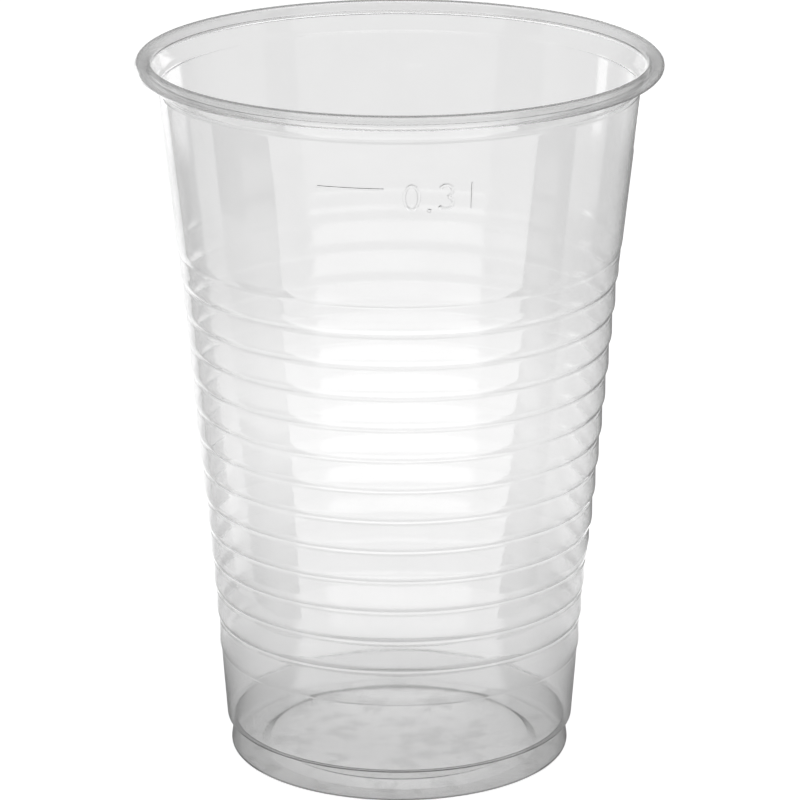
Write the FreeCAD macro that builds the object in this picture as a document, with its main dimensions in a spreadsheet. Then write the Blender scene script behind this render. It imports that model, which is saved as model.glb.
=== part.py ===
"""Clear disposable drinking cup, 0.3 litre, formed from one thin plastic sheet.

Millimetres, +Z up. The origin is the middle of the flat ring that the cup stands on.
One sheet of even thickness makes the whole cup. Its outer face is drawn as one open
outline, from the tucked edge of the rolled rim down the neck, the smooth upper wall,
the grip rings and the low wall to the foot and the raised base panel. The outline is
given its thickness towards the inside and turned about the axis.
"""
import FreeCAD, Part
import math
import os

import Sketcher

# Driving sizes: name, value in millimetres unless the note says otherwise, note
SIZES = [
    ("rim_diameter", 81.0, "over the outside of the rolled rim"),
    ("height", 112.0, "from the ground to the top of the rim"),
    ("wall", 0.3, "thickness of the sheet"),
    ("roll_height", 2.3, "outside height of the rolled rim"),
    ("roll_flat", 0.35, "width of the flat on top of the rim"),
    ("roll_tuck", 0.45, "how far the sheet's edge runs back in under the rim"),
    ("neck_height", 4.75, "from the top of the rim to the corner of the upper wall"),
    ("neck_inset", 3.1, "from the outside of the rim in to the knee of the neck"),
    ("neck_round", 1.05, "height of the rounded low edge of the neck"),
    ("wall_inset", 3.46, "from the outside of the rim in to the top of the upper wall"),
    ("wall_taper", 0.106, "run inwards of the upper wall for each millimetre down"),
    ("smooth_height", 30.4, "least height from the rim's top down to the first ring"),
    ("ring_low", 16.5, "height of the low end of the lowest ring"),
    ("ring_pitch", 5.0, "height of one grip ring"),
    ("ring_inset", 0.58, "how far the first ring stands in from the upper wall"),
    ("ring_step", 0.45, "how far each ring stands in from the one above"),
    ("ring_round", 1.75, "height of the rounded low edge of a ring"),
    ("groove_depth", 0.15, "depth of the groove above each ring's corner"),
    ("shoulder", 0.42, "height of the slope from a groove to the corner below it"),
    ("low_inset", 0.33, "how far the low wall stands in from the lowest ring"),
    ("low_taper", 0.075, "run inwards of the low wall for each millimetre down"),
    ("low_round", 0.5, "radius at the low edge of the low wall"),
    ("foot_height", 5.0, "height of the foot band"),
    ("foot_inset", 1.2, "how far the top of the foot stands in from the low wall"),
    ("foot_flare", 0.6, "how far the foot widens from its top to its heel"),
    ("heel_radius", 0.9, "radius from the foot band to the ground"),
    ("ground_width", 4.0, "width of the flat ring that the cup stands on"),
    ("panel_slope", 1.5, "width of the slope from the ground ring to the panel"),
    ("panel_height", 1.1, "height of the base panel's underside"),
    ("mark_drop", 11.8, "from the top of the rim to the middle of the fill line"),
    ("mark_height", 0.28, "height of the raised fill line"),
    ("mark_relief", 0.12, "how far the fill line stands out of the wall"),
    ("mark_start", -109.3, "angle about the axis where the fill line starts, in degrees"),
    ("mark_sweep", 15.7, "angle that the fill line runs round the wall, in degrees"),
]
NAMES = [name for name, value, note in SIZES]

# Places that several corners share, as formulas of the driving sizes
RIM = "rim_diameter / 2"
ROLL_OUT = f"{RIM} - roll_height / 2"
ROLL_IN = f"{ROLL_OUT} - roll_flat"
WALL_TOP_RADIUS = f"{RIM} - wall_inset"
WALL_TOP = "height - neck_height"
RINGS_TOP = "ring_low + RING_COUNT * ring_pitch"
WALL_LOW = f"{RINGS_TOP} + shoulder + ring_round"
WALL_LOW_RADIUS = f"{WALL_TOP_RADIUS} - wall_taper * ( {WALL_TOP} - ( {WALL_LOW} ) )"
FIRST_RING = f"{WALL_LOW_RADIUS} - ring_inset"
LAST_RING = f"{FIRST_RING} - ( RING_COUNT - 1 ) * ring_step"
LOW_TOP_RADIUS = f"{LAST_RING} - low_inset"
LOW_END = "foot_height + low_round"
LOW_END_RADIUS = f"{LOW_TOP_RADIUS} - low_taper * ( ring_low - ( {LOW_END} ) )"
FOOT_TOP_RADIUS = f"{LOW_END_RADIUS} - foot_inset"
HEEL = f"{FOOT_TOP_RADIUS} + foot_flare"
GROUND_OUT = f"{HEEL} - heel_radius"
GROUND_IN = f"{GROUND_OUT} - ground_width"
PANEL_RADIUS = f"{GROUND_IN} - panel_slope"


def make_sheet(doc):
    """Store every driving size in a cell that carries its name."""
    sheet = doc.addObject("Spreadsheet::Sheet", "sizes")
    for row, (name, value, note) in enumerate(SIZES, start=1):
        sheet.set(f"A{row}", name)
        sheet.set(f"B{row}", str(value))
        sheet.setAlias(f"B{row}", name)
        sheet.set(f"C{row}", note)
    doc.recompute()
    return sheet


def count_rings(sheet):
    """As many whole rings as fit between the low wall and the smooth upper wall."""
    room = sheet.height - sheet.smooth_height - sheet.ring_low
    return max(1, int(room / sheet.ring_pitch))


def bound(formula, ring_count):
    """The formula with each size name written as a cell of the sheet."""
    words = formula.replace("RING_COUNT", str(ring_count)).split()
    return " ".join("sizes." + word if word in NAMES else word for word in words)


class Outline:
    """A chain of lines and tangent arcs in the XZ plane, each corner bound to sizes."""

    def __init__(self, doc, name, sheet, ring_count):
        self.sheet = sheet
        self.ring_count = ring_count
        self.sketch = doc.addObject("Sketcher::SketchObject", name)
        self.sketch.Placement = FreeCAD.Placement(
            FreeCAD.Vector(), FreeCAD.Rotation(FreeCAD.Vector(1, 0, 0), 90))
        self.point = None
        self.heading = None
        self.piece = None
        self.piece_end = None
        self.tangent_next = False

    def value(self, formula):
        """The present number of a formula."""
        return float(self.sheet.evalExpression(bound(formula, self.ring_count)))

    def bind(self, kind, *place, to):
        """Add one measured constraint and tie it to a formula."""
        index = self.sketch.addConstraint(Sketcher.Constraint(kind, *place, self.value(to)))
        self.sketch.setExpression(f"Constraints[{index}]", bound(to, self.ring_count))

    def pin(self, piece, end, across, up):
        """Hold one end at its radius and height: 0 is the axis or the ground."""
        if across == "0":
            self.sketch.addConstraint(Sketcher.Constraint("PointOnObject", piece, end, -2))
        else:
            self.bind("DistanceX", -1, 1, piece, end, to=across)
        if up == "0":
            self.sketch.addConstraint(Sketcher.Constraint("PointOnObject", piece, end, -1))
        else:
            self.bind("DistanceY", -1, 1, piece, end, to=up)

    def join(self, piece, end, tangent):
        """Fasten a new piece to the last one, in line with it where that is asked."""
        if self.piece is None:
            return
        kind = "Tangent" if tangent or self.tangent_next else "Coincident"
        constraint = Sketcher.Constraint(kind, self.piece, self.piece_end, piece, end)
        self.sketch.addConstraint(constraint)
        self.tangent_next = False

    def start(self, across, up):
        self.point = FreeCAD.Vector(self.value(across), self.value(up), 0)
        self.start_place = (across, up)

    def line(self, across, up):
        """A straight piece to the corner at this radius and height."""
        end = FreeCAD.Vector(self.value(across), self.value(up), 0)
        piece = self.sketch.addGeometry(Part.LineSegment(self.point, end), False)
        if self.piece is None:
            self.pin(piece, 1, *self.start_place)
        self.join(piece, 1, tangent=False)
        self.pin(piece, 2, across, up)
        self.heading = (end - self.point).normalize()
        self.point, self.piece, self.piece_end = end, piece, 2

    def add_arc(self, end, heading, at_end):
        """An arc to a point, tangent to a heading at its start or at its end."""
        base, toward = (end, self.point) if at_end else (self.point, end)
        direction = heading * (-1 if at_end else 1)
        normal = FreeCAD.Vector(-direction.y, direction.x, 0)
        chord = toward - base
        reach = chord.dot(chord) / (2 * chord.dot(normal))
        centre = base + normal * reach
        turns_left = (reach > 0) != at_end
        angles = [math.atan2(p.y - centre.y, p.x - centre.x) for p in (self.point, end)]
        first, last = angles if turns_left else reversed(angles)
        circle = Part.Circle(centre, FreeCAD.Vector(0, 0, 1), abs(reach))
        if last < first:
            last += 2 * math.pi
        piece = self.sketch.addGeometry(Part.ArcOfCircle(circle, first, last), False)
        start_end = (1, 2) if turns_left else (2, 1)
        radius = end - centre
        side = 1 if turns_left else -1
        self.heading = FreeCAD.Vector(-radius.y, radius.x, 0).normalize() * side
        return piece, start_end

    def arc(self, across, up):
        """An arc that leaves the last piece in line with it and ends at a corner."""
        end = FreeCAD.Vector(self.value(across), self.value(up), 0)
        piece, (first, last) = self.add_arc(end, self.heading, at_end=False)
        self.join(piece, first, tangent=True)
        self.pin(piece, last, across, up)
        self.point, self.piece, self.piece_end = end, piece, last

    def arc_into(self, across, up, heading):
        """An arc from a sharp corner that ends in line with the next piece."""
        end = FreeCAD.Vector(self.value(across), self.value(up), 0)
        piece, (first, last) = self.add_arc(end, heading, at_end=True)
        self.join(piece, first, tangent=False)
        self.pin(piece, last, across, up)
        self.point, self.piece, self.piece_end = end, piece, last
        self.tangent_next = True

    def roll(self, centre_across, centre_up, radius, guess):
        """An arc of a known centre that leaves in line and meets the next piece so."""
        centre = FreeCAD.Vector(self.value(centre_across), self.value(centre_up), 0)
        angle = math.radians(guess)
        spoke = FreeCAD.Vector(math.cos(angle), math.sin(angle), 0)
        end = centre + spoke * self.value(radius)
        piece, (first, last) = self.add_arc(end, self.heading, at_end=False)
        self.join(piece, first, tangent=True)
        self.bind("Radius", piece, to=radius)
        self.point, self.piece, self.piece_end = end, piece, last
        self.tangent_next = True


def draw_rim(outline):
    """The rolled rim and the neck below it, as the sheet's outer face runs."""
    under = "height - roll_height + wall"
    top = "height - wall"
    outline.start(f"{ROLL_OUT} - roll_tuck", under)
    outline.line(ROLL_OUT, under)
    outline.arc(ROLL_OUT, top)
    outline.line(ROLL_IN, top)
    outline.roll(ROLL_IN, "height - roll_height / 2", "roll_height / 2 - wall", guess=157)
    groove_up = f"{WALL_TOP} + shoulder"
    outline.line(f"{RIM} - neck_inset", f"{groove_up} + neck_round")
    outline.arc(f"{WALL_TOP_RADIUS} - groove_depth", groove_up)
    outline.line(WALL_TOP_RADIUS, WALL_TOP)


def draw_rings(outline, ring_count):
    """The smooth upper wall, then each ring with the groove above it, going down."""
    outline.line(WALL_LOW_RADIUS, WALL_LOW)
    for ring in range(ring_count):
        radius = f"{FIRST_RING} - {ring} * ring_step"
        top = f"{RINGS_TOP} - {ring} * ring_pitch"
        outline.arc(f"{radius} - groove_depth", f"{top} + shoulder")
        outline.line(radius, top)
        outline.line(radius, f"{top} - ring_pitch + shoulder + ring_round")
    outline.arc(LOW_TOP_RADIUS, "ring_low")


def draw_foot(outline):
    """The low wall, the foot band that stands in from it, and the base."""
    outline.line(LOW_END_RADIUS, LOW_END)
    outline.arc(f"{LOW_END_RADIUS} - low_round", "foot_height")
    outline.line(FOOT_TOP_RADIUS, "foot_height")
    outline.line(HEEL, "heel_radius")
    outline.arc_into(GROUND_OUT, "0", heading=FreeCAD.Vector(-1, 0, 0))
    outline.line(GROUND_IN, "0")
    outline.line(PANEL_RADIUS, "panel_height")
    outline.line("0", "panel_height")


def make_body(doc, sheet, ring_count):
    """The whole sheet: outline, thickness to the inside, one turn about the axis."""
    outline = Outline(doc, "sheet_outline", sheet, ring_count)
    draw_rim(outline)
    draw_rings(outline, ring_count)
    draw_foot(outline)
    section = doc.addObject("Part::Offset2D", "sheet_section")
    section.Source = outline.sketch
    section.Mode = "Skin"
    section.Join = "Arc"
    section.Fill = True
    section.setExpression("Value", "-sizes.wall")
    body = doc.addObject("Part::Revolution", "formed_sheet")
    body.Source = section
    body.Axis = FreeCAD.Vector(0, 0, 1)
    body.Angle = 360
    body.Solid = True
    return body


def make_fill_line(doc, sheet, ring_count):
    """A low raised line on the upper wall, rooted halfway into the sheet."""
    outline = Outline(doc, "fill_line_section", sheet, ring_count)
    middle = f"{WALL_TOP_RADIUS} - wall_taper * ( {WALL_TOP} - height + mark_drop )"
    lean = "wall_taper * mark_height / 2"
    low = "height - mark_drop - mark_height / 2"
    high = "height - mark_drop + mark_height / 2"
    outline.start(f"{middle} - {lean} - wall / 2", low)
    outline.line(f"{middle} - {lean} + mark_relief", low)
    outline.line(f"{middle} + {lean} + mark_relief", high)
    outline.line(f"{middle} + {lean} - wall / 2", high)
    outline.line(f"{middle} - {lean} - wall / 2", low)
    line = doc.addObject("Part::Revolution", "fill_line")
    line.Source = outline.sketch
    line.Axis = FreeCAD.Vector(0, 0, 1)
    line.setExpression("Angle", "sizes.mark_sweep")
    line.Solid = True
    line.setExpression("Placement.Rotation.Angle", "sizes.mark_start")
    return line


def check(doc, parts):
    """Stop unless every object was worked out and every part is one sound solid."""
    for item in doc.Objects:
        if {"Invalid", "Error"} & set(item.State):
            raise RuntimeError(f"{item.Name} failed: {item.State}")
    for part in parts:
        if part.Shape.isNull() or not part.Shape.isValid():
            raise RuntimeError(f"{part.Label} is not a valid shape")
        if len(part.Shape.Solids) != 1:
            raise RuntimeError(f"{part.Label} has {len(part.Shape.Solids)} solids")


def main():
    doc = FreeCAD.newDocument("cup")
    sheet = make_sheet(doc)
    ring_count = count_rings(sheet)
    body = make_body(doc, sheet, ring_count)
    line = make_fill_line(doc, sheet, ring_count)
    cup = doc.addObject("Part::Fuse", "cup")
    cup.Label = "cup"
    cup.Base = body
    cup.Tool = line
    doc.recompute()
    check(doc, [cup])
    os.makedirs("parts", exist_ok=True)
    cup.Shape.exportStep(f"parts/{cup.Label}.step")
    box = cup.Shape.optimalBoundingBox()
    print(f"rings {ring_count}, volume {cup.Shape.Volume:.1f} cubic millimetres")
    print(f"box {box.XLength:.2f} x {box.YLength:.2f} x {box.ZLength:.2f}")
    print(f"lowest point {box.ZMin:.4f}, faces {len(cup.Shape.Faces)}")


main()
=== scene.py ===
# %% [markdown]
# # A clear drinking cup, formed from one sheet
# The real cup is one thin sheet of clear plastic, drawn down into a mould: a rolled rim, a
# smooth upper wall, a stack of grip rings and a foot that the cup stands on. This file builds
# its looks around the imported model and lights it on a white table.

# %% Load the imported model
import math

import bmesh
import bpy
from mathutils import Matrix, Vector


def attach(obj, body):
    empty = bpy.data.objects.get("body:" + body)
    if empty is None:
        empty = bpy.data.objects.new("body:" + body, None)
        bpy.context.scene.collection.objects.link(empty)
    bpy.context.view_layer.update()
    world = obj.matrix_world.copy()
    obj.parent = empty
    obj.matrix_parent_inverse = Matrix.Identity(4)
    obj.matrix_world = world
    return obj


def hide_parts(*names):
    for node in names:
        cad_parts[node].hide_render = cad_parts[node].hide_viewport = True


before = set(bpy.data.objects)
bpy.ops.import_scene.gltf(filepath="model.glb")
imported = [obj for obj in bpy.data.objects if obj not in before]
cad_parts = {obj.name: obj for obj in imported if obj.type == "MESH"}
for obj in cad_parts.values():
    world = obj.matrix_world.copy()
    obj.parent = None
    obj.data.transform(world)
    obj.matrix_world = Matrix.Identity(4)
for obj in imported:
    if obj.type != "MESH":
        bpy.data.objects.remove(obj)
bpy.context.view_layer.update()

# %% [markdown]
# ## Sizes
# Every size is in millimetres, as on the drawing of the cup. Blender works in metres, so a
# point is multiplied by MM only when it goes into a mesh.

# %% Sizes of the cup
MM = 0.001
HEIGHT = 112.0
RIM = 81.0 / 2
WALL = 0.22
ROLL_HEIGHT = 2.3
ROLL_FLAT = 0.35
CURL_RADIUS = 38.4
CURL_RISE = 0.5
NECK_HEIGHT = 4.75
NECK_INSET = 3.1
NECK_ROUND = 1.05
NECK_SHOULDER = 0.3
NECK_GROOVE = 0.2
WALL_INSET = 3.46
WALL_TAPER = 0.106
RING_COUNT = 13
RING_LOW = 16.5
RING_PITCH = 5.0
RING_INSET = 0.58
RING_STEP = 0.45
RING_ROUND = 1.75
RING_SIDE = 2.4
RING_LEAN = 0.25
GROOVE_DEPTH = 0.15
SHOULDER = 0.42
LOW_INSET = 0.33
LOW_TAPER = 0.075
FOOT_HEIGHT = 5.0
FOOT_INSET = 1.2
FOOT_FLARE = 0.6
HEEL_RADIUS = 0.9
GROUND_WIDTH = 4.0
PANEL_SLOPE = 1.5
PANEL_HEIGHT = 1.1

WALL_TOP = HEIGHT - NECK_HEIGHT
WALL_TOP_RADIUS = RIM - WALL_INSET
RINGS_TOP = RING_LOW + RING_COUNT * RING_PITCH
WALL_LOW = RINGS_TOP + SHOULDER + RING_ROUND
WALL_LOW_RADIUS = WALL_TOP_RADIUS - WALL_TAPER * (WALL_TOP - WALL_LOW)
FIRST_RING = WALL_LOW_RADIUS - RING_INSET
LAST_RING = FIRST_RING - (RING_COUNT - 1) * RING_STEP
print("first ring radius", round(FIRST_RING, 2), "last", round(LAST_RING, 2))


# %% [markdown]
# ## The section of the sheet
# A turned shape is best drawn as a section. Each corner is a radius, a height and the
# rounding that the mould gives it. A sharp corner would look cut from paper, because real
# plastic cannot fill one. The other face of the sheet lies one thickness away along the
# normal, so each point carries its normal with it.

# %% Round the corners of a chain
ARC_STEP = math.radians(15)


def rounded(chain):
    """Points with normals along a chain of (radius, height, rounding) corners."""
    made = []
    for index, (across, up, rounding) in enumerate(chain):
        here = Vector((across, up))
        before = Vector(chain[index - 1][:2]) if index else None
        after = Vector(chain[index + 1][:2]) if index + 1 < len(chain) else None
        arriving = (here - before).normalized() if before else (after - here).normalized()
        leaving = (after - here).normalized() if after else arriving
        turn = arriving.angle_signed(leaving, 0.0)
        if not before or not after or not rounding:
            middle = (arriving + leaving).normalized()
            made.append((here, Vector((middle.y, -middle.x))))
            continue
        reach = rounding * math.tan(abs(turn) / 2)
        start = here - arriving * reach
        inward = Vector((arriving.y, -arriving.x))
        side = 1 if turn > 0 else -1
        centre = start + inward * rounding * side
        steps = max(2, math.ceil(abs(turn) / ARC_STEP))
        for step in range(steps + 1):
            normal = inward.copy()
            normal.rotate(Matrix.Rotation(-turn * step / steps, 2))
            made.append((centre - normal * rounding * side, normal))
    return made


# %% Corners of the rim, the rings and the foot
GROOVE_ROUND = 0.47
CORNER_ROUND = 0.95
GROOVE_ROOM = 0.26


def eased(start, lean, end):
    """The corner of an arc that leaves start at a lean from straight down and ends at end."""
    chord = Vector(end) - Vector(start)
    turn = 2 * (math.atan2(-chord.x, -chord.y) - lean)
    reach = chord.length / 2 / math.cos(turn / 2)
    corner = Vector(start) - reach * Vector((math.sin(lean), math.cos(lean)))
    return corner.x, corner.y, (reach - GROOVE_ROOM) / math.tan(abs(turn) / 2)


def top_chain():
    """From the hidden edge of the roll down to the first ring's straight side."""
    roll = ROLL_HEIGHT / 2 - WALL
    under = HEIGHT - ROLL_HEIGHT + WALL
    top = HEIGHT - WALL
    out = RIM - WALL
    knee = Vector((RIM - NECK_INSET, WALL_TOP + NECK_SHOULDER + NECK_ROUND))
    centre = Vector((RIM - ROLL_HEIGHT / 2 - ROLL_FLAT, HEIGHT - ROLL_HEIGHT / 2))
    away = centre - knee
    lean = math.pi / 2 - math.atan2(away.y, away.x) - math.asin(roll / away.length)
    neck_groove = (WALL_TOP_RADIUS - NECK_GROOVE, WALL_TOP + NECK_SHOULDER)
    ring_top = FIRST_RING + RING_LEAN
    ring_groove = (ring_top - GROOVE_DEPTH / 3, RINGS_TOP + SHOULDER)
    return [
        (CURL_RADIUS, under + CURL_RISE, 0),
        (CURL_RADIUS, under, 0.35),
        (out, under, roll),
        (out, top, roll),
        (knee.x + (top - knee.y) * math.tan(lean), top, roll),
        eased(knee, lean, neck_groove),
        (*neck_groove, 0.3),
        (WALL_TOP_RADIUS, WALL_TOP, 0.5),
        eased((WALL_LOW_RADIUS, WALL_LOW), math.atan(WALL_TAPER), ring_groove),
        (*ring_groove, GROOVE_ROUND),
        (ring_top, RINGS_TOP, CORNER_ROUND),
        (FIRST_RING, RINGS_TOP - RING_SIDE + 0.2, 1.5),
        (FIRST_RING, RINGS_TOP - RING_SIDE, 0),
    ]


def ring_chain():
    """One repeat, from a ring's side to the same place on the ring below."""
    low = RINGS_TOP - RING_PITCH
    below = FIRST_RING - RING_STEP
    groove = (below - GROOVE_DEPTH, low + SHOULDER)
    return [
        (FIRST_RING, RINGS_TOP - RING_SIDE, 0),
        eased((FIRST_RING, low + SHOULDER + RING_ROUND), 0, groove),
        (*groove, GROOVE_ROUND),
        (below, low, CORNER_ROUND),
        (below, low - RING_SIDE / 2, 0),
        (below, low - RING_SIDE, 0),
    ]


def foot_chain():
    """From the lowest ring's side to the middle of the base panel."""
    low_top = LAST_RING - LOW_INSET
    low_end = low_top - LOW_TAPER * (RING_LOW - FOOT_HEIGHT)
    foot_top = low_end - FOOT_INSET
    heel = foot_top + FOOT_FLARE * FOOT_HEIGHT / (FOOT_HEIGHT - HEEL_RADIUS)
    ground = foot_top + FOOT_FLARE - HEEL_RADIUS - GROUND_WIDTH
    panel = ground - PANEL_SLOPE
    return [
        (LAST_RING, RING_LOW + RING_PITCH - RING_SIDE, 0),
        eased((LAST_RING, RING_LOW + SHOULDER + RING_ROUND), 0, (low_top, RING_LOW)),
        (low_top, RING_LOW, 0.8),
        (low_end, FOOT_HEIGHT, 0.45),
        (foot_top, FOOT_HEIGHT, 0.15),
        (heel, 0, HEEL_RADIUS),
        (ground, 0, 0.5),
        (panel, PANEL_HEIGHT, 0.5),
        (panel * 0.6, PANEL_HEIGHT, 0),
        (panel * 0.3, PANEL_HEIGHT, 0),
        (0, PANEL_HEIGHT, 0),
    ]


# %% Turn a chain into both faces of the sheet
def outline_mesh(name, chains, edge_at_start=False):
    """Edges in the XZ plane along both faces of the sheet, for each chain."""
    verts, edges = [], []
    for chain in chains:
        points = rounded(chain)
        near = [(p.x * MM, 0, p.y * MM) for p, n in points]
        far = [((p + n * WALL).x * MM, 0, (p + n * WALL).y * MM) for p, n in points]
        for face in (near, far):
            first = len(verts)
            verts += face
            edges += [(first + i, first + i + 1) for i in range(len(face) - 1)]
        if edge_at_start:
            edges.append((len(verts) - len(near) * 2, len(verts) - len(near)))
            edge_at_start = False
    mesh = bpy.data.meshes.new(name)
    mesh.from_pydata(verts, edges, [])
    print(name, len(verts), "points")
    return mesh


ends = outline_mesh("outline_ends", [top_chain(), foot_chain()], edge_at_start=True)
ring = outline_mesh("outline_ring", [ring_chain()])

# %% [markdown]
# ## Rings that repeat, and one turn about the axis
# The grip rings are the same shape thirteen times, each a little smaller and lower, and the
# whole cup is its section turned about the axis. Both follow a rule, so a Geometry Nodes tree
# makes them: a line of points carries the ring's outline, and the joined outline is swept
# along a circle. Merging by distance closes the section and both poles.


# %% A helper that adds a node and links it
def add_node(tree, kind, inputs=None, **settings):
    """A node of this kind, with its settings and its inputs as values or sockets."""
    node = tree.nodes.new(kind)
    for key, value in settings.items():
        setattr(node, key, value)
    for key, value in (inputs or {}).items():
        if isinstance(value, bpy.types.NodeSocket):
            tree.links.new(value, node.inputs[key])
        else:
            node.inputs[key].default_value = value
    return node


def maths(tree, operation, *values):
    """The result of a Math node on values or sockets."""
    return add_node(tree, "ShaderNodeMath", dict(enumerate(values)), operation=operation).outputs[0]


def fade(tree, value, start, end, first=0.0, last=1.0, **settings):
    """Runs from first to last while the value runs from start to end, and holds outside."""
    node = add_node(tree, "ShaderNodeMapRange", {
        "Value": value, "From Min": start, "From Max": end, "To Min": first, "To Max": last},
        **settings)
    return node.outputs[0]


# %% The tree that repeats the ring and turns the section
def turned_sheet_tree():
    tree = bpy.data.node_groups.new("turned_sheet", "GeometryNodeTree")
    sockets = [
        ("Ends", "NodeSocketGeometry"), ("Ring outline", "NodeSocketObject"),
        ("Ring repeats", "NodeSocketInt"), ("Ring pitch", "NodeSocketFloat"),
        ("Ring step", "NodeSocketFloat"), ("Sides", "NodeSocketInt"),
        ("Plastic", "NodeSocketMaterial"),
    ]
    for name, kind in sockets:
        tree.interface.new_socket(name=name, in_out="INPUT", socket_type=kind)
    tree.interface.new_socket(name="Cup", in_out="OUTPUT", socket_type="NodeSocketGeometry")
    given = tree.nodes.new("NodeGroupInput").outputs
    down = maths(tree, "MULTIPLY", given["Ring pitch"], -1.0)
    inward = maths(tree, "MULTIPLY", given["Ring step"], -1.0)
    shift = add_node(tree, "ShaderNodeCombineXYZ", {"X": inward, "Z": down})
    places = add_node(tree, "GeometryNodeMeshLine", {
        "Count": given["Ring repeats"], "Offset": shift.outputs[0]}, mode="OFFSET")
    outline = add_node(tree, "GeometryNodeObjectInfo", {"Object": given["Ring outline"]})
    rings = add_node(tree, "GeometryNodeInstanceOnPoints", {
        "Points": places.outputs[0], "Instance": outline.outputs["Geometry"]})
    real_rings = add_node(tree, "GeometryNodeRealizeInstances", {0: rings.outputs[0]})
    joined = add_node(tree, "GeometryNodeJoinGeometry", {0: given["Ends"]})
    tree.links.new(real_rings.outputs[0], joined.inputs[0])
    section = add_node(tree, "GeometryNodeMergeByDistance", {
        "Geometry": joined.outputs[0], "Distance": MERGE})
    place = add_node(tree, "GeometryNodeInputPosition")
    parts = add_node(tree, "ShaderNodeSeparateXYZ", {0: place.outputs[0]})
    below = maths(tree, "MULTIPLY", parts.outputs["Z"], -1.0)
    beside = maths(tree, "SUBTRACT", parts.outputs["X"], PATH_RADIUS)
    flat = add_node(tree, "ShaderNodeCombineXYZ", {"X": beside, "Y": below})
    laid = add_node(tree, "GeometryNodeSetPosition", {
        "Geometry": section.outputs[0], "Position": flat.outputs[0]})
    profile = add_node(tree, "GeometryNodeMeshToCurve", {0: laid.outputs[0]})
    path = add_node(tree, "GeometryNodeCurvePrimitiveCircle", {
        "Resolution": given["Sides"], "Radius": PATH_RADIUS})
    turned = add_node(tree, "GeometryNodeCurveToMesh", {
        "Curve": path.outputs[0], "Profile Curve": profile.outputs[0]})
    closed = add_node(tree, "GeometryNodeMergeByDistance", {
        "Geometry": turned.outputs[0], "Distance": MERGE})
    smooth = add_node(tree, "GeometryNodeSetShadeSmooth", {"Geometry": closed.outputs[0]})
    real = add_node(tree, "GeometryNodeRealizeInstances", {0: smooth.outputs[0]})
    dressed = add_node(tree, "GeometryNodeSetMaterial", {
        "Geometry": real.outputs[0], "Material": given["Plastic"]})
    result = tree.nodes.new("NodeGroupOutput")
    tree.links.new(dressed.outputs[0], result.inputs[0])
    return tree


MERGE = 0.001 * MM
PATH_RADIUS = 10 * MM
SIDES = 180
tree = turned_sheet_tree()
print("tree", tree.name, "has", len(tree.nodes), "nodes")

# %% [markdown]
# ## Clear plastic
# The cup is colourless and glossy, and slightly milky. Its base colour is just under white,
# because what the eye sees of clear sheet is mostly reflection. Thin drawn sheet is never quite
# even: slow waves from the mould bend its reflections, and handling leaves faint dull patches.
# Both come from noise on Object coordinates, so they stay on the plastic from any side. Masks
# made from the height and the distance to the axis add the rest: the low wall is painted greyer
# towards the bottom as shade, the foot's wall is painted grey as shade, the base panel is
# smudged, the roll is duller and painted a little greyer as shade, and near the rim the sheet is
# even.


# %% Helpers for the plastic
def neutral(level):
    """A colour without hue."""
    return level, level, level, 1


def toned(tree, below, mask, level):
    """The colour below, turned to a grey level where the mask is 1."""
    node = add_node(tree, "ShaderNodeMix", {
        "Factor": mask, "A": below, "B": neutral(level)}, data_type="RGBA")
    return node.outputs["Result"]


def noise(tree, place, scale, detail, roughness):
    """A noise pattern that stays on the plastic."""
    node = add_node(tree, "ShaderNodeTexNoise", {
        "Vector": place, "Scale": scale, "Detail": detail, "Roughness": roughness})
    return node.outputs["Fac"]


# %% The clear plastic material
# The first two heights bound the painted shade on the low wall.
LOW_SHADE_TOP = 40.0
LOW_SHADE_FULL = 8.0
UNEVEN_BELOW = 104.0
EVEN_ABOVE = 106.0
FOOT_WALL = 25.5
ROLL_UNDERSIDE = HEIGHT - ROLL_HEIGHT


def rolled_mask(tree, up, from_axis):
    """1 on the rolled rim."""
    wide = fade(tree, from_axis, (CURL_RADIUS - 0.5) * MM, (CURL_RADIUS + 0.1) * MM)
    high = fade(tree, up, (ROLL_UNDERSIDE - 0.4) * MM, (ROLL_UNDERSIDE - 0.1) * MM)
    return maths(tree, "MULTIPLY", wide, high)


def smudges_and_foot_shade(tree, place, up, from_axis):
    """1 on the foot's wall, where shade is painted, and up to 0.9 in the smudges of the base panel.
    """
    smudges = noise(tree, place, 260.0, 4.0, 0.6)
    panel = fade(tree, up, (PANEL_HEIGHT + 0.5) * MM, (PANEL_HEIGHT + 0.2) * MM)
    smudged = maths(tree, "MULTIPLY", fade(tree, smudges, 0.5, 0.62, 0.0, 0.9), panel)
    outer = fade(tree, from_axis, (FOOT_WALL - 0.2) * MM, (FOOT_WALL + 0.2) * MM)
    foot = fade(tree, up, (FOOT_HEIGHT + 0.1) * MM, (FOOT_HEIGHT - 0.3) * MM)
    return maths(tree, "MAXIMUM", smudged, maths(tree, "MULTIPLY", foot, outer))


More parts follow.
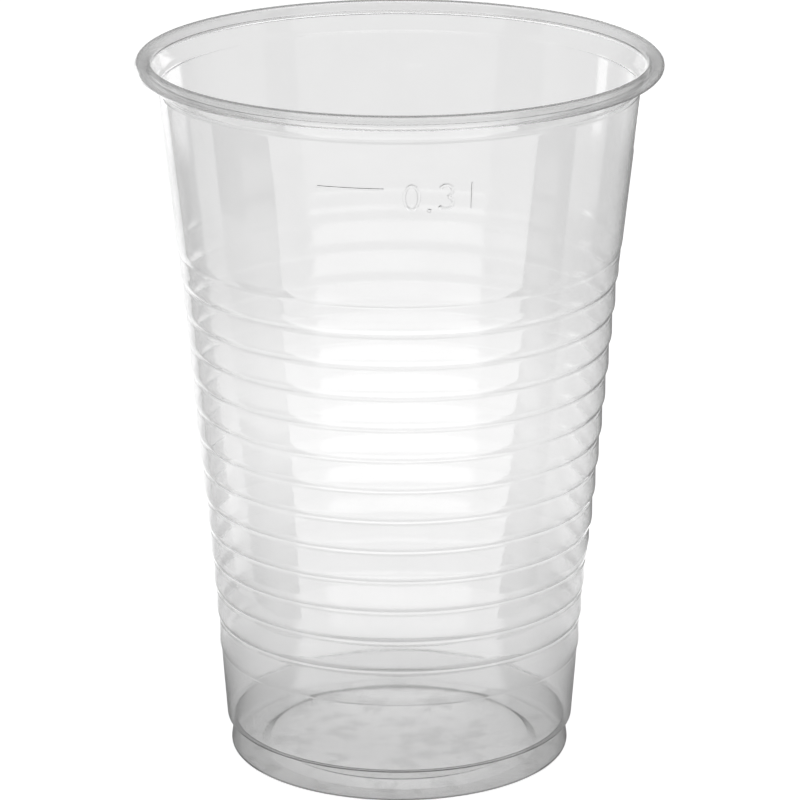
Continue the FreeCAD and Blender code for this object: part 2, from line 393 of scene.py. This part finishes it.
def clear_plastic():
    material = bpy.data.materials.new("clear_sheet_plastic")
    material.use_nodes = True
    tree = material.node_tree
    tree.nodes.clear()
    place = add_node(tree, "ShaderNodeTexCoord").outputs["Object"]
    up = add_node(tree, "ShaderNodeSeparateXYZ", {0: place}).outputs["Z"]
    level = add_node(tree, "ShaderNodeVectorMath", {0: place, 1: (1, 1, 0)}, operation="MULTIPLY")
    across = add_node(tree, "ShaderNodeVectorMath", {0: level.outputs[0]}, operation="LENGTH")
    from_axis = across.outputs["Value"]
    waves = noise(tree, place, 60.0, 2.0, 0.4)
    patches = noise(tree, place, 140.0, 4.0, 0.6)
    rolled = rolled_mask(tree, up, from_axis)
    # Painted shade: the wall is painted greyer from 40 mm down to 8 mm, standing in for the shade
    # that falls round the cup's base.
    painted_low_shade = fade(tree, up, LOW_SHADE_TOP * MM, LOW_SHADE_FULL * MM)
    colour = toned(tree, neutral(0.985), fade(tree, patches, 0.35, 0.75), 0.965)
    colour = toned(tree, colour, painted_low_shade, 0.9)
    # Painted shade: the foot's wall is painted dark grey, standing in for the shade at the heel;
    # the smudges of the panel are real marks.
    colour = toned(tree, colour, smudges_and_foot_shade(tree, place, up, from_axis), 0.785)
    # Painted shade: the rolled rim is painted a little greyer, standing in for the shade in its
    # curl of sheet; its extra roughness is its own.
    colour = toned(tree, colour, rolled, 0.95)
    dull = fade(tree, patches, 0.45, 0.8, 0.05, 0.09)
    dull = maths(tree, "MULTIPLY_ADD", rolled, 0.06, dull)
    uneven = fade(tree, up, UNEVEN_BELOW * MM, EVEN_ABOVE * MM, 0.25, 0.0)
    bump = add_node(tree, "ShaderNodeBump", {
        "Height": waves, "Strength": uneven, "Distance": 0.1 * MM})
    plastic = add_node(tree, "ShaderNodeBsdfPrincipled", {
        "Base Color": colour, "Roughness": dull, "IOR": 1.56, "Transmission Weight": 1.0,
        "Metallic": 0.0, "Normal": bump.outputs[0]})
    add_node(tree, "ShaderNodeOutputMaterial", {"Surface": plastic.outputs[0]})
    return material


plastic = clear_plastic()
print("material", plastic.name)


# %% [markdown]
# ## Build the cup
# A modifier carries the tree. Its inputs are set by their identifiers, the result becomes a
# plain mesh, and the modifier goes with the helper object.


# %% Evaluate the tree into a plain mesh
def link_new(name, data):
    made = bpy.data.objects.new(name, data)
    bpy.context.scene.collection.objects.link(made)
    return made


def evaluated_mesh(source, name):
    """The object's mesh with its modifiers applied, as new data."""
    bpy.context.view_layer.update()
    graph = bpy.context.evaluated_depsgraph_get()
    mesh = bpy.data.meshes.new_from_object(source.evaluated_get(graph))
    mesh.name = name
    return mesh


def outward(mesh):
    """Merges doubles and turns every face outwards."""
    work = bmesh.new()
    work.from_mesh(mesh)
    bmesh.ops.remove_doubles(work, verts=work.verts, dist=MERGE / 2)
    bmesh.ops.recalc_face_normals(work, faces=work.faces)
    open_edges = sum(1 for e in work.edges if not e.is_manifold)
    volume = work.calc_volume(signed=True) / MM ** 3
    work.to_mesh(mesh)
    work.free()
    triangles = sum(len(p.vertices) - 2 for p in mesh.polygons)
    print(mesh.name, triangles, "triangles", open_edges, "open edges", round(volume, 1), "mm3")
    return mesh


ring_object = link_new("ring_outline", ring)
helper = link_new("sheet_ends", ends)
modifier = helper.modifiers.new("turned_sheet", "NODES")
modifier.node_group = tree
values = {
    "Ring outline": ring_object, "Ring repeats": RING_COUNT - 1, "Ring pitch": RING_PITCH * MM,
    "Ring step": RING_STEP * MM, "Sides": SIDES, "Plastic": plastic,
}
for item in tree.interface.items_tree:
    if item.in_out == "INPUT" and item.name in values:
        modifier[item.identifier] = values[item.name]
cup = link_new("clear_cup", outward(evaluated_mesh(helper, "clear_cup")))
for used in (ring_object, helper):
    bpy.data.objects.remove(used)

# %% [markdown]
# ## The fill mark
# A short line and the volume are raised on the wall where the mould was cut with a round
# tool. Each stroke is a thin round tube along the wall, half sunk in it. A union makes them
# part of the sheet, so the cup stays one piece.

# %% Strokes of the fill mark
MARK_HEIGHT = HEIGHT - 11.8


def on_wall(degrees, up):
    """A point on the upper wall; 0 degrees is the front."""
    radius = WALL_TOP_RADIUS - WALL_TAPER * (WALL_TOP - up)
    angle = math.radians(degrees)
    return Vector((radius * math.sin(angle), -radius * math.cos(angle), up)) * MM


def bow(centre, reach, first, last, count):
    """Points along part of an oval, angles in degrees from the right, anticlockwise."""
    turns = [math.radians(first + (last - first) * i / (count - 1)) for i in range(count)]
    return [(centre[0] + reach[0] * math.cos(t), centre[1] + reach[1] * math.sin(t)) for t in turns]


fill_line = [(-19.3 + 15.7 * i / 12, MARK_HEIGHT) for i in range(13)]
nought = bow((2.85, 98.95), (1.75, 1.85), 0, 360, 29)[:-1]
comma = [(7.05, 97.15), (7.0, 96.95), (6.9, 96.75)]
three = (bow((10.9, 99.9), (1.55, 0.9), 150, -65, 12)
         + bow((10.9, 98.05), (1.75, 0.95), 65, -150, 13))
letter = [(17.1, 101.0), (17.1, 99.0), (17.1, 97.0)]
strokes = [
    (fill_line, False, 0.2), (nought, True, 0.27), (comma, False, 0.31), (three, False, 0.28),
    (letter, False, 0.13),
]
print("strokes", len(strokes))


def stroke_tube(points, cyclic, radius):
    """One closed tube along points of the wall."""
    curve = bpy.data.curves.new("stroke", "CURVE")
    curve.dimensions = "3D"
    curve.bevel_depth = radius * MM
    curve.bevel_resolution = 2
    curve.use_fill_caps = True
    spline = curve.splines.new("POLY")
    spline.points.add(len(points) - 1)
    for point, (degrees, up) in zip(spline.points, points):
        point.co = (*on_wall(degrees, up), 1)
    spline.use_cyclic_u = cyclic
    made = link_new("stroke", curve)
    mesh = outward(evaluated_mesh(made, "stroke"))
    bpy.data.objects.remove(made)
    return mesh


# %% Join the strokes to the sheet
for points, cyclic, radius in strokes:
    tube = link_new("stroke_tube", stroke_tube(points, cyclic, radius))
    union = cup.modifiers.new("fill_mark", "BOOLEAN")
    union.operation = "UNION"
    union.solver = "MANIFOLD"
    union.object = tube
    joined = evaluated_mesh(cup, "clear_cup")
    cup.modifiers.remove(union)
    cup.data = joined
    bpy.data.objects.remove(tube)
outward(cup.data)
cup.data.materials.clear()
cup.data.materials.append(plastic)
for face in cup.data.polygons:
    face.use_smooth = True
cup.data.set_sharp_from_angle(angle=math.radians(35))


# %% [markdown]
# ## An even wall round the mark
# A union cuts the wall's long faces into slivers, and smooth shading across these would show as
# creases in the clear plastic. The cut faces still lie on the same cone, so each of their
# corners gets the cone's own normal.

# %% Keep the wall's own normals round the strokes
MARKED_LOW = 84.0
MARKED_HIGH = 106.5
ON_CONE = math.radians(2.5)


def wall_normal(place, inner):
    """The cone's normal at a place of the smooth upper wall."""
    slope = math.atan(WALL_TAPER)
    flat = Vector((place.x, place.y, 0)).normalized() * math.cos(slope)
    normal = Vector((flat.x, flat.y, -math.sin(slope)))
    return -normal if inner else normal


def keep_wall_normals(mesh):
    """Cut faces of the wall shade as the cone they lie on."""
    normals = [Vector(corner.vector) for corner in mesh.corner_normals]
    kept = 0
    for face in mesh.polygons:
        centre = face.center
        if not MARKED_LOW * MM < centre.z < MARKED_HIGH * MM:
            continue
        inner = face.normal.dot(Vector((centre.x, centre.y, 0))) < 0
        if face.normal.angle(wall_normal(centre, inner)) > ON_CONE:
            continue
        for corner in face.loop_indices:
            place = mesh.vertices[mesh.loops[corner].vertex_index].co
            normals[corner] = wall_normal(place, inner)
            kept += 1
    mesh.normals_split_custom_set(normals)
    print("wall corners with their own normals", kept)


keep_wall_normals(cup.data)

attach(cup, "root")
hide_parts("cup")

# %% [markdown]
# ## The white table
# Clear plastic shows only what is round it, so the table does most of the work. It is white
# where the camera sees it. Where it is seen straight through the plastic, a painted shadow makes
# it a little darker under the cup. Where the plastic mirrors it, a painted reflection makes only
# the part just in front bright, which gives the cup its bright middle between darker sides.


# %% Masks for the kinds of ray
def ray_masks(tree):
    """1 for rays straight to the camera, straight through the plastic, and mirrored."""
    path = add_node(tree, "ShaderNodeLightPath")
    mirrored = maths(tree, "GREATER_THAN", path.outputs["Glossy Depth"], 0.5)
    straight = maths(tree, "SUBTRACT", 1.0, mirrored)
    through = maths(tree, "MULTIPLY", path.outputs["Is Transmission Ray"], straight)
    return path.outputs["Is Camera Ray"], through, mirrored


# %% The table's material, with its distances in metres
FLOOR_GLOW = 0.9
THROUGH_GLOW = 0.8
MIRRORED_GLOW = 0.95
SIDE_GLOW = 0.12
FRONT_REACH = 0.45


def table_seen_through(tree, distance, parts):
    """Painted brightness straight through the plastic: a painted shadow near the cup and beside it,
    and darker far off.
    """
    # Painted shadow: under and sides darken the table near and beside the cup, panel paints light
    # beneath the clear base, and beyond darkens it far off.
    under = fade(tree, distance, 0.016, 0.15, 0.76, 1.0)
    off_axis = fade(tree, maths(tree, "ABSOLUTE", parts["X"]), 0.022, 0.03, 0.0, 0.25)
    begins = fade(tree, parts["Y"], 0.015, 0.035)
    stops = fade(tree, parts["Y"], 0.11, 0.075)
    sides = maths(tree, "MULTIPLY", begins, stops)
    sides = maths(tree, "MULTIPLY", sides, off_axis)
    under = maths(tree, "MULTIPLY", under, maths(tree, "SUBTRACT", 1.0, sides))
    panel = fade(tree, distance, 0.015, 0.026, 1.17, 1.0)
    under = maths(tree, "MULTIPLY", under, panel)
    beyond = fade(tree, distance, 0.19, 0.27, 1.0, 0.82, interpolation_type="SMOOTHSTEP")
    return maths(tree, "MULTIPLY", under, beyond)


def table_mirrored(tree, distance, parts):
    """Painted reflections of the table: a bright field in front, a softer one behind, dark sides.
    """
    # Painted reflection: the fields stand in for a room that is bright in front and dark at the
    # sides; foot_shade paints a shadow near the foot, and close paints it brighter near the cup.
    near = fade(tree, parts["Y"], -FRONT_REACH - 0.02, -FRONT_REACH, 0.1, 1.0)
    ahead = maths(tree, "DIVIDE", parts["Y"], distance)
    wider = fade(tree, distance, 0.1, 0.125, 0.0, -0.25)
    turned = maths(tree, "ADD", ahead, wider)
    aside = fade(tree, turned, -0.6, -0.52, MIRRORED_GLOW, SIDE_GLOW)
    behind = fade(tree, ahead, 0.7, 0.85, 0.0, 0.7)
    fields = maths(tree, "MULTIPLY_ADD", near, aside, behind)
    foot_shade = fade(tree, distance, 0.04, 0.062, 0.15, 1.0, interpolation_type="SMOOTHSTEP")
    close = fade(tree, distance, 0.08, 0.16, 1.45, 1.0)
    return maths(tree, "MULTIPLY", fields, maths(tree, "MULTIPLY", foot_shade, close))


def table_material():
    material = bpy.data.materials.new("white_table")
    material.use_nodes = True
    material.cycles.emission_sampling = "NONE"
    tree = material.node_tree
    tree.nodes.clear()
    camera_ray, through, mirrored = ray_masks(tree)
    place = add_node(tree, "ShaderNodeTexCoord").outputs["Object"]
    parts = add_node(tree, "ShaderNodeSeparateXYZ", {0: place}).outputs
    distance = add_node(tree, "ShaderNodeVectorMath", {0: place}, operation="LENGTH")
    distance = distance.outputs["Value"]
    seen_through = maths(tree, "MULTIPLY", table_seen_through(tree, distance, parts), THROUGH_GLOW)
    glow = maths(tree, "MULTIPLY", camera_ray, FLOOR_GLOW)
    glow = maths(tree, "MULTIPLY_ADD", through, seen_through, glow)
    glow = maths(tree, "MULTIPLY_ADD", mirrored, table_mirrored(tree, distance, parts), glow)
    paint = add_node(tree, "ShaderNodeBsdfDiffuse", {"Color": neutral(0.8)})
    light = add_node(tree, "ShaderNodeEmission", {"Color": neutral(1), "Strength": glow})
    both = add_node(tree, "ShaderNodeAddShader", {0: paint.outputs[0], 1: light.outputs[0]})
    add_node(tree, "ShaderNodeOutputMaterial", {"Surface": both.outputs[0]})
    return material


# %% Lay the table
def flat_sheet(name, corners, material):
    mesh = bpy.data.meshes.new(name)
    mesh.from_pydata(corners, [], [tuple(range(len(corners)))])
    mesh.materials.append(material)
    made = link_new(name, mesh)
    return made


DROP = 0.05 * MM
TABLE_REACH = 4
table_signs = ((-1, -1), (1, -1), (1, 1), (-1, 1))
table_corners = [(x * TABLE_REACH, y * TABLE_REACH, -DROP) for x, y in table_signs]
table = flat_sheet("table", table_corners, table_material())
print("table", table.name)

# %% [markdown]
# ## Cards
# A studio places cards beside clear things to draw their edges. Only mirrored rays meet these
# cards, so they don't show through the plastic. Dark cards at the front give the walls their
# dark edges, bright ones stand for windows at the sides, and two small shining ones make the
# highlights inside the mouth. The rest are pale or grey, so that no edge turns fully white.


# %% A card's material
def card_material(name, strength):
    """A card that only mirrored rays meet."""
    material = bpy.data.materials.new(name)
    material.use_nodes = True
    material.cycles.emission_sampling = "NONE"
    tree = material.node_tree
    tree.nodes.clear()
    mirrored = ray_masks(tree)[2]
    clear = add_node(tree, "ShaderNodeBsdfTransparent")
    board = add_node(tree, "ShaderNodeEmission", {"Color": neutral(1), "Strength": strength})
    both = add_node(tree, "ShaderNodeMixShader", {
        0: mirrored, 1: clear.outputs[0], 2: board.outputs[0]})
    add_node(tree, "ShaderNodeOutputMaterial", {"Surface": both.outputs[0]})
    return material


dark = card_material("dark_card", 0.02)
grey = card_material("grey_card", 0.3)
pale = card_material("pale_card", 0.4)
shine = card_material("shine_card", 1.9)
bright = card_material("bright_card", 0.7)
print("card materials", 5)

# %% Place the cards
CARD_DISTANCE = 0.107
# Each card: name, first and last angle in degrees from the front, lean of its top corner in
# degrees, low and high edge in metres, material
cards = [
    ("right_front_card", 54, 80, 20, 0, 0.3, dark),
    ("right_sill", 80, 102, 0, 0, 0.06, pale),
    ("right_window", 80, 102, 0, 0.06, 0.078, bright),
    ("right_top", 80, 102, 0, 0.078, 0.3, grey),
    ("right_back_card", 102, 131, 0, 0, 0.3, grey),
    ("right_far_card", 131, 148, 0, 0, 0.112, grey),
    ("right_far_low", 148, 165, 0, 0, 0.072, grey),
    ("right_shine", 150, 171, 0, 0.075, 0.112, shine),
    ("left_front_low", -54, -86.7, 0, 0, 0.035, dark),
    ("left_front", -54, -86.7, 0, 0.035, 0.06, pale),
    ("left_front_card", -54, -86.7, -20, 0.06, 0.3, dark),
    ("left_window", -86.7, -103.3, 0, 0, 0.078, bright),
    ("left_top", -86.7, -103.3, 0, 0.078, 0.3, grey),
    ("left_back_card", -103.3, -128, 0, 0, 0.3, grey),
    ("left_shine", -129, -138, 0, 0.079, 0.112, shine),
]
for name, first, last, lean, low, high, paint in cards:
    places = [(first, low), (last, low), (last, high), (first + lean, high)]
    corners = [(CARD_DISTANCE * math.sin(math.radians(turn)),
                -CARD_DISTANCE * math.cos(math.radians(turn)), up) for turn, up in places]
    card = flat_sheet(name, corners, paint)
    card.visible_camera = False
    card.visible_shadow = False
    card.visible_diffuse = False
print("cards", len(cards))

# %% [markdown]
# ## Surroundings and lamp
# The surroundings are white where they are seen directly or through the plastic, and dim where
# they are mirrored. One large soft lamp above gives the table its light without hard shadows.

# %% World and lamp
world = bpy.data.worlds.new("studio")
bpy.context.scene.world = world
world.use_nodes = True
sky = world.node_tree
sky.nodes.clear()
camera_ray, through, mirrored = ray_masks(sky)
seen = maths(sky, "ADD", camera_ray, through)
strength = maths(sky, "MULTIPLY_ADD", seen, 0.8, 0.2)
strength = maths(sky, "MULTIPLY_ADD", mirrored, 0.15, strength)
backdrop = add_node(sky, "ShaderNodeBackground", {"Color": neutral(1), "Strength": strength})
add_node(sky, "ShaderNodeOutputWorld", {"Surface": backdrop.outputs[0]})


def soft_lamp(name, place, aim, size, power):
    data = bpy.data.lights.new(name, "AREA")
    data.shape = "RECTANGLE"
    data.size, data.size_y = size
    data.energy = power
    lamp = link_new(name, data)
    lamp.location = place
    lamp.rotation_euler = (Vector(aim) - Vector(place)).to_track_quat("-Z", "Y").to_euler()
    return lamp


lamp = soft_lamp("top_lamp", (0.0, 0.15, 1.1), (0, 0, 0.05), (0.9, 0.6), 1.2)
print("lamp", lamp.name)

# %% [markdown]
# ## Camera
# A long lens from a little above the rim, so the mouth shows as a narrow ellipse.

# %% Camera at the photograph's viewing angle
LENS = 204.17
LOOKING_DOWN = 0.304
CAMERA_PLACE = (0.0001, -0.67687, 0.26907)
camera_data = bpy.data.cameras.new("camera")
camera_data.sensor_width = 36
camera_data.lens = LENS
camera = link_new("camera", camera_data)
camera.location = CAMERA_PLACE
camera.rotation_euler = (math.pi / 2 - LOOKING_DOWN, 0, 0)
bpy.context.scene.camera = camera
print("camera at", CAMERA_PLACE, "looking down by", round(math.degrees(LOOKING_DOWN), 1), "degrees")

# %% Rays that pass many sheets
scene = bpy.context.scene
scene.view_settings.view_transform = "Standard"
scene.cycles.max_bounces = 24
scene.cycles.transmission_bounces = 20
scene.cycles.glossy_bounces = 8
print("bounces", scene.cycles.max_bounces)

# %% [markdown]
# ## Finish

# %% Finish
bpy.context.view_layer.update()
